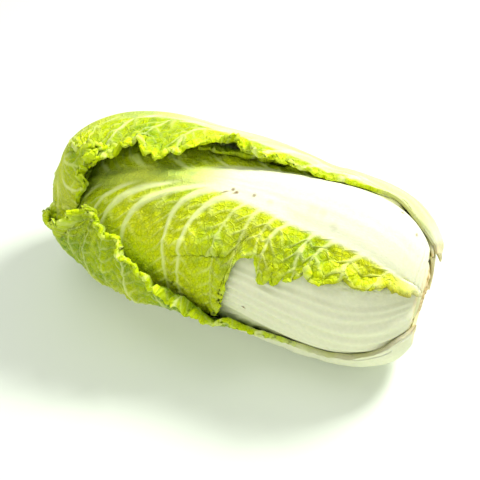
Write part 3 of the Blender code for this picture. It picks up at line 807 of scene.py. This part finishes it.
def leaf_paint(leaf, at, main, branch, walls):
    """What each point is painted with: (rib, vein, edge), (dark, yellow, mark), (along, across, cut end)."""
    white = rib_whiteness(leaf, at)
    vein = np.maximum.reduce([np.minimum(main * 1.15, 1), 0.52 * branch, 0.12 * walls])
    edge = smooth_step(1 - at.from_edge / 0.010) * smooth_step(at.out / 0.004) * smooth_step(at.start / 0.09)
    # Painted shade: the green is darker along the walls of the net, in the creases between its cells.
    net_wall_shade = walls * (1 - np.minimum(main, 1))
    dark, yellow = blade_tones(leaf, at, edge, net_wall_shade)
    one = np.ones(at.start.shape)
    return {
        "paint": np.stack([white, vein, edge, one], -1),
        "tone": np.stack([dark, yellow, brown_marks(leaf, at), one], -1),
        "flat": np.stack([at.along, at.across, cut_end(leaf, at), one], -1),
    }


def grid_faces(rows, columns):
    """Triangles of an open grid, facing out."""
    index = np.arange(rows * columns).reshape(rows, columns)
    a, b, c, d = index[:-1, :-1], index[1:, :-1], index[1:, 1:], index[:-1, 1:]
    return np.concatenate([np.stack(t, -1).reshape(-1, 3) for t in ((a, b, c), (a, c, d))])


def sheet_faces(rows, columns):
    """Triangles of a closed sheet: outer grid first, then the inner grid, and the rim between them."""
    outer = grid_faces(rows, columns)
    index = np.arange(rows * columns).reshape(rows, columns)
    ring = np.concatenate([index[0, :-1], index[:-1, -1], index[-1, :0:-1], index[:0:-1, 0]])
    after = np.roll(ring, -1)
    below = rows * columns
    rim = [np.stack(t, -1) for t in ((ring, after, after + below), (ring, after + below, ring + below))]
    return np.concatenate([outer, outer[:, ::-1] + below, *rim])


def new_piece(name, points, faces, node, material, paint=None):
    """A shaded piece on the body, in place of a CAD node."""
    mesh = bpy.data.meshes.new(name)
    mesh.vertices.add(len(points))
    mesh.vertices.foreach_set("co", np.asarray(points, np.float32).ravel())
    mesh.loops.add(faces.size)
    mesh.loops.foreach_set("vertex_index", faces.astype(np.int32).ravel())
    mesh.polygons.add(len(faces))
    mesh.polygons.foreach_set("loop_start", np.arange(0, faces.size, 3, dtype=np.int32))
    mesh.polygons.foreach_set("use_smooth", np.ones(len(faces), bool))
    for key, values in (paint or {}).items():
        layer = mesh.attributes.new(key, "FLOAT_COLOR", "POINT")
        layer.data.foreach_set("color", values.astype(np.float32).ravel())
    mesh.update(calc_edges=True)
    mesh.validate()
    mesh.materials.append(material)
    piece = bpy.data.objects.new(name, mesh)
    bpy.context.scene.collection.objects.link(piece)
    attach(piece, "root")
    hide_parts(node)


def body_origin():
    """Where the heart's axis meets the base of the stem, in the row frame."""
    low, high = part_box("stem")
    return np.array([low[0] - JOINT_GAP, (low[1] + high[1]) / 2, (low[2] + high[2]) / 2])


def heart_points(detail):
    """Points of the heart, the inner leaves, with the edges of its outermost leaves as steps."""
    turns, rings = int(HEART_TURNS * detail), int(HEART_RINGS * detail)
    to_tip = PATH * (1 - np.linspace(0, 1, rings)[:-1]) ** 1.25
    angle = np.linspace(0, 2 * np.pi, turns, endpoint=False)
    ring, turn = np.meshgrid(to_tip, angle, indexing="ij")
    point, normal = on_heart(ring, turn)
    near_tip = smooth_step(1 - ring / 0.16) * smooth_step(ring / 0.02)
    overlap = (turn * 3 / (2 * np.pi) + ring / 0.16) % 1
    point = point - normal * (INNER_LEAF_STEP * near_tip * overlap)[..., None]
    tip = on_heart(np.array(0.0), np.array(0.0))[0]
    return point, np.concatenate([point.reshape(-1, 3), [tip, point[0].mean(axis=0)]])


def turned_faces(rings, turns):
    """Triangles of a closed turned solid: rings of points, then the tip point and the base point."""
    index = np.arange(rings * turns).reshape(rings, turns)
    after = np.roll(index, -1, axis=1)
    a, b, c, d = index[:-1], index[1:], after[1:], after[:-1]
    sides = [np.stack(t, -1).reshape(-1, 3) for t in ((a, b, c), (a, c, d))]
    tip_fan = np.stack([index[-1], np.full(turns, rings * turns), after[-1]], -1)
    base_fan = np.stack([after[0], np.full(turns, rings * turns + 1), index[0]], -1)
    return np.concatenate([*sides, tip_fan, base_fan])


def stem_points(detail):
    """Points of the cut stem, and its paint: a pale wall, and a ragged tan face cut at a slant."""
    turns, rings = int(STEM_TURNS * detail), int(STEM_RINGS * detail)
    radius = STEM_RADIUS - JOINT_GAP
    share = np.linspace(0, 1, rings)
    wall = np.clip(share / STEM_WALL_SHARE, 0, 1)
    face = np.clip((share - STEM_WALL_SHARE) / (1 - STEM_WALL_SHARE), 0, 1)
    angle = np.linspace(0, 2 * np.pi, turns, endpoint=False)
    wall, turn = np.meshgrid(wall, angle, indexing="ij")
    face = np.broadcast_to(face[:, None], wall.shape)
    ragged = noise(turn * 9, face * 3, 41) * smooth_step(wall * 3 - 2)
    rim = radius * (1 - STEM_TAPER * wall**2) - STEM_RAGGEDNESS * np.abs(ragged)
    r = rim * (1 - 0.97 * face)
    y, z = -r * np.sin(turn), r * np.cos(turn)
    rough = STEM_RELIEF * noise(y / 0.0016, z / 0.0016, 42) + 0.0007 * noise(y / 0.005, z / 0.005, 43)
    ring = STEM_RELIEF * np.cos(2 * np.pi * r / GROWTH_RING)
    slant = STEM_SLANT * (radius - (z - y) / np.sqrt(2))
    x = JOINT_GAP + wall * (STEM_LENGTH - STEM_RIM_DROP - slant)
    x = x + smooth_step(face * 4) * (0.0009 + rough + ring)
    x = x + 0.0008 * ragged * (face < 0.2)
    tan = smooth_step(wall * 4 - 2.6 + 0.5 * ragged)
    paint = np.stack([tan, 0 * tan, 0 * tan, 0 * tan + 1], -1)
    return np.stack([x, y, z], -1)[::-1], paint[::-1]


def mixed(tree, factor, first, second):
    """A colour mix node's output. Each colour is a socket or a constant."""
    mix = tree.nodes.new("ShaderNodeMix")
    mix.data_type = "RGBA"
    tree.links.new(factor, mix.inputs["Factor"])
    for key, colour in (("A", first), ("B", second)):
        socket = next(s for s in mix.inputs if s.name == key and s.type == "RGBA")
        if isinstance(colour, tuple):
            socket.default_value = colour
        else:
            tree.links.new(colour, socket)
    return next(s for s in mix.outputs if s.type == "RGBA")


def split_attribute(tree, name):
    """The three channels of a painted colour."""
    source = tree.nodes.new("ShaderNodeAttribute")
    source.attribute_name = name
    parts = tree.nodes.new("ShaderNodeSeparateColor")
    tree.links.new(source.outputs["Color"], parts.inputs["Color"])
    return parts.outputs["Red"], parts.outputs["Green"], parts.outputs["Blue"]


def noise_socket(tree, scale, detail, stretch=(1, 1, 1)):
    """A noise texture in the object's own coordinates."""
    place = tree.nodes.new("ShaderNodeTexCoord")
    mapping = tree.nodes.new("ShaderNodeMapping")
    mapping.inputs["Scale"].default_value = stretch
    texture = tree.nodes.new("ShaderNodeTexNoise")
    texture.inputs["Scale"].default_value = scale
    texture.inputs["Detail"].default_value = detail
    tree.links.new(place.outputs["Object"], mapping.inputs["Vector"])
    tree.links.new(mapping.outputs["Vector"], texture.inputs["Vector"])
    return texture.outputs["Fac"]


def remapped(tree, socket, source, target=(0.0, 1.0)):
    """A value stretched from one range to another, and held inside it."""
    node = tree.nodes.new("ShaderNodeMapRange")
    for name, value in zip(("From Min", "From Max", "To Min", "To Max"), (*source, *target)):
        node.inputs[name].default_value = value
    tree.links.new(socket, node.inputs["Value"])
    return node.outputs["Result"]


def combined(tree, operation, first, second):
    """A maths node's output, from two sockets or constants."""
    node = tree.nodes.new("ShaderNodeMath")
    node.operation = operation
    for socket, value in zip(node.inputs, (first, second)):
        if isinstance(value, float):
            socket.default_value = value
        else:
            tree.links.new(value, socket)
    return node.outputs["Value"]


def bumped(tree, shader, height, strength, distance):
    """Shades a surface as if it had a fine relief on it."""
    node = tree.nodes.new("ShaderNodeBump")
    node.inputs["Strength"].default_value = strength
    node.inputs["Distance"].default_value = distance
    tree.links.new(height, node.inputs["Height"])
    tree.links.new(node.outputs["Normal"], shader.inputs["Normal"])


def fine_net(tree, cell):
    """Nearness to the walls of cells of one size on the flattened leaf, from 0 to 1."""
    flat = tree.nodes.new("ShaderNodeAttribute")
    flat.attribute_name = "flat"
    bend = tree.nodes.new("ShaderNodeTexNoise")
    bend.inputs["Scale"].default_value = WALL_BENDS / cell
    tree.links.new(flat.outputs["Vector"], bend.inputs["Vector"])
    shift = tree.nodes.new("ShaderNodeVectorMath")
    shift.operation = "MULTIPLY_ADD"
    shift.inputs[1].default_value = (cell, cell, 0)
    tree.links.new(bend.outputs["Color"], shift.inputs[0])
    tree.links.new(flat.outputs["Vector"], shift.inputs[2])
    cells = tree.nodes.new("ShaderNodeTexVoronoi")
    cells.voronoi_dimensions = "2D"
    cells.feature = "DISTANCE_TO_EDGE"
    cells.inputs["Scale"].default_value = 1 / cell
    tree.links.new(shift.outputs["Vector"], cells.inputs["Vector"])
    return remapped(tree, cells.outputs["Distance"], (WALL_WIDTH, 0.0))


# Most values of a noise texture lie in this range.
NOISE_RANGE = (0.3, 0.7)

# Noise textures, each as (steps per metre, levels of detail), and a stretch for one of them.
FLECK_NOISE = (420, 3)
GRAIN_NOISE = (900, 4, (0.35, 1, 1))
HEART_NOISE = (60, 4)
FIBRE_NOISE = (260, 5)
CUT_NOISE = (700, 5)
FLECK_SHARE = 0.08
GRAIN_SHARE = 0.25
HEART_SHARE = 0.6

# Fine relief, as (strength, height).
LEAF_RELIEF = (0.8, 0.0008)
CUT_RELIEF = (0.5, 0.0006)

# What each shader is set to all over its surface.
LEAF_SHADER = {
    "Roughness": 0.45,
    "Specular IOR Level": 0.10,
    "Subsurface Weight": 0.15,
    "Subsurface Radius": (0.8, 1.0, 0.1),
    "Subsurface Scale": 0.0012,
}
HEART_SHADER = {"Roughness": 0.5}
STEM_SHADER = {"Roughness": 0.85}
# The floor's green tint is painted green light, bounced from the leaves into its shade.
FLOOR_SHADER = {
    "Base Color": (0.78, 0.84, 0.72, 1),
    "Roughness": 0.9,
    "Emission Color": (1.0, 1.0, 1.0, 1),
    "Emission Strength": 0.08,
}


def new_material(name, settings):
    """A material with its shader's constants set, as (material, node tree, shader)."""
    material = bpy.data.materials.new(name)
    material.use_nodes = True
    tree = material.node_tree
    shader = tree.nodes["Principled BSDF"]
    for key, value in settings.items():
        shader.inputs[key].default_value = value
    return material, tree, shader


def blade_nets(tree, white, vein):
    """The two finest nets on the green blade, as (pale lines, painted shade in their creases)."""
    blade = combined(tree, "SUBTRACT", 1.0, combined(tree, "MAXIMUM", white, vein))
    blade = combined(tree, "POWER", blade, 2.0)
    coarse, fine = fine_net(tree, COARSE_CELL), fine_net(tree, FINE_CELL)
    lines = combined(tree, "MAXIMUM", coarse, combined(tree, "MULTIPLY", fine, FINE_SHARE))
    lines = combined(tree, "MULTIPLY", lines, blade)
    painted_crease_shade = combined(tree, "MULTIPLY", combined(tree, "MULTIPLY", fine, blade), CREASE_SHADE_DARKNESS)
    return lines, painted_crease_shade


def leaf_material():
    """Green blade, pale veins, bright edge, white rib, tan cut and brown specks, by the painted values, with
    painted shade in the creases of the fine net.
    """
    material, tree, shader = new_material("leaf_surface", LEAF_SHADER)
    white, vein, edge = split_attribute(tree, "paint")
    dark, yellow, spot = split_attribute(tree, "tone")
    cut = split_attribute(tree, "flat")[2]
    lines, painted_crease_shade = blade_nets(tree, white, vein)
    fleck = remapped(tree, noise_socket(tree, *FLECK_NOISE), NOISE_RANGE, (0.0, FLECK_SHARE))
    layers = (
        (dark, DEEP_GREEN),
        (yellow, YELLOW_GREEN),
        # Painted shade: the creases of the fine net are darkened towards olive.
        (painted_crease_shade, CREASE_SHADE_OLIVE),
        (edge, BRIGHT_EDGE),
        (combined(tree, "MULTIPLY", lines, LINE_PALENESS), NET_GREEN),
        (vein, PALE_VEIN),
        (white, RIB_WHITE),
        (cut, STEM_TAN),
        (fleck, DEEP_GREEN),
        (spot, BROWN),
    )
    colour = LIME
    for amount, layer in layers:
        colour = mixed(tree, amount, colour, layer)
    tree.links.new(colour, shader.inputs["Base Color"])
    grain = combined(tree, "MULTIPLY", noise_socket(tree, *GRAIN_NOISE), GRAIN_SHARE)
    bumped(tree, shader, combined(tree, "ADD", lines, grain), *LEAF_RELIEF)
    return material


def heart_material():
    """Yellow-green inner leaves."""
    material, tree, shader = new_material("heart_surface", HEART_SHADER)
    shade = remapped(tree, noise_socket(tree, *HEART_NOISE), NOISE_RANGE, (0.0, HEART_SHARE))
    tree.links.new(mixed(tree, shade, HEART_GREEN, LIME), shader.inputs["Base Color"])
    return material


def stem_material():
    """Dry tan cut face with browner fibres, and a pale wall."""
    material, tree, shader = new_material("stem_surface", STEM_SHADER)
    shade = remapped(tree, noise_socket(tree, *FIBRE_NOISE), NOISE_RANGE)
    cut = split_attribute(tree, "paint")[0]
    colour = mixed(tree, cut, CREAM, mixed(tree, shade, STEM_TAN, STEM_BROWN))
    tree.links.new(colour, shader.inputs["Base Color"])
    bumped(tree, shader, noise_socket(tree, *CUT_NOISE), *CUT_RELIEF)
    return material


def pressed(points, height):
    """Keeps points at least this high over the floor."""
    points[..., 2] = np.maximum(points[..., 2], height)
    return points


def make_leaf(leaf, trees, origin, material, detail):
    """Builds one leaf, adds it to the things that later leaves lie on, and shows it."""
    at = Layout(leaf, detail)
    outer, inner, paint = leaf_surfaces(leaf, at, trees)
    rows, columns = outer.shape[:2]
    trees.append(BVHTree.FromPolygons(outer.reshape(-1, 3).tolist(), grid_faces(rows, columns).tolist()))
    outer = pressed(outer + origin, 0.0)
    inner = pressed(inner + origin, PRESSED_THICKNESS)
    points = np.concatenate([outer.reshape(-1, 3), inner.reshape(-1, 3)])
    paint = {key: np.concatenate([value.reshape(-1, 4)] * 2) for key, value in paint.items()}
    faces = sheet_faces(rows, columns)
    new_piece(leaf.name + "_fine", points, faces, leaf.name, material, paint)


def make_heart(origin, detail):
    """Shows the heart, and gives the surface that the leaves lie on."""
    grid, points = heart_points(detail)
    faces = turned_faces(*grid.shape[:2])
    new_piece("heart_fine", points + origin, faces, "heart", heart_material())
    return BVHTree.FromPolygons(points.tolist(), faces.tolist())


def make_stem(origin, detail):
    """Shows the cut stem: the last two points are the middle of its base and of its face."""
    rings, paint = stem_points(detail)
    base = np.array([JOINT_GAP, 0, 0])
    points = np.concatenate([rings.reshape(-1, 3), [base, rings[0].mean(axis=0)]])
    ends = np.ones((2, 4)) * [[0], [1]]
    paint = {"paint": np.concatenate([paint.reshape(-1, 4), ends])}
    faces = turned_faces(*rings.shape[:2])
    new_piece("stem_fine", points + origin, faces, "stem", stem_material(), paint)


def make_head(detail):
    """All the pieces of the head, from the inside out."""
    origin = body_origin()
    trees = [make_heart(origin, detail)]
    make_stem(origin, detail)
    material = leaf_material()
    for leaf in LEAVES:
        make_leaf(leaf, trees, origin, material, detail)


CAMERA_AZIMUTH = 22.0
CAMERA_ELEVATION = 45.0
CAMERA_DISTANCE = 0.610
CAMERA_LENS = 62.0
CAMERA_TARGET = (0.0064, 0.0001, 0.0627)


def place_camera():
    """Looks at the head from the photo's side."""
    azimuth, elevation = np.radians(CAMERA_AZIMUTH), np.radians(CAMERA_ELEVATION)
    level = np.cos(elevation)
    back = Vector((np.sin(azimuth) * level, -np.cos(azimuth) * level, np.sin(elevation)))
    data = bpy.data.cameras.new("camera")
    data.lens = CAMERA_LENS
    data.sensor_width = 36
    camera = bpy.data.objects.new("camera", data)
    camera.location = Vector(CAMERA_TARGET) + back * CAMERA_DISTANCE
    camera.rotation_euler = (-back).to_track_quat("-Z", "Y").to_euler()
    bpy.context.scene.collection.objects.link(camera)
    bpy.context.scene.camera = camera


WORLD_STRENGTH = 0.53
LIGHTS_LOOK_AT = (0, 0, 0.05)

# The lights: (name, place, size, watts).
LIGHTS = (
    ("key", (0.40, 0.55, 0.90), 0.30, 13.0),
    ("front", (-0.10, -0.90, 0.50), 0.5, 1.3),
    ("top", (-0.35, -0.1, 1.1), 0.6, 2.5),
)


def area_light(name, location, size, watts):
    """A soft square light that looks at the head."""
    data = bpy.data.lights.new(name, "AREA")
    data.energy = watts
    data.size = size
    light = bpy.data.objects.new(name, data)
    light.location = location
    way = Vector(LIGHTS_LOOK_AT) - Vector(location)
    light.rotation_euler = way.to_track_quat("-Z", "Y").to_euler()
    bpy.context.scene.collection.objects.link(light)


def light_scene():
    """Even white light all round, and three soft lights."""
    world = bpy.data.worlds.new("studio")
    world.use_nodes = True
    background = world.node_tree.nodes["Background"]
    background.inputs["Color"].default_value = (1.0, 1.0, 1.0, 1.0)
    background.inputs["Strength"].default_value = WORLD_STRENGTH
    bpy.context.scene.world = world
    bpy.context.scene.view_settings.view_transform = "Standard"
    for light in LIGHTS:
        area_light(*light)


FLOOR_HALF = 3.0
FLOOR_DROP = 0.0003


def make_floor():
    """A white table top, which isn't part of the object. Its green tint is painted light bounced from the
    leaves.
    """
    mesh = bpy.data.meshes.new("table_top")
    corners = [(FLOOR_HALF * x, FLOOR_HALF * y, 0) for x, y in ((-1, -1), (1, -1), (1, 1), (-1, 1))]
    mesh.from_pydata(corners, [], [(0, 1, 2, 3)])
    mesh.materials.append(new_material("table_top", FLOOR_SHADER)[0])
    floor = bpy.data.objects.new("table_top", mesh)
    floor.location.z = -FLOOR_DROP
    bpy.context.scene.collection.objects.link(floor)


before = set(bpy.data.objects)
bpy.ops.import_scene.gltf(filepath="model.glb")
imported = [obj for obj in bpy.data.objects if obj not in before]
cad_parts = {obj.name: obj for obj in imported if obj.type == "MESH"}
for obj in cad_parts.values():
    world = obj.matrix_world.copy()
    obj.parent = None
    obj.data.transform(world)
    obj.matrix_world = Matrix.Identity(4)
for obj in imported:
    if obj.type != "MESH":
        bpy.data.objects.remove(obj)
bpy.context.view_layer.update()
make_head(1.0)
make_floor()
light_scene()
place_camera()
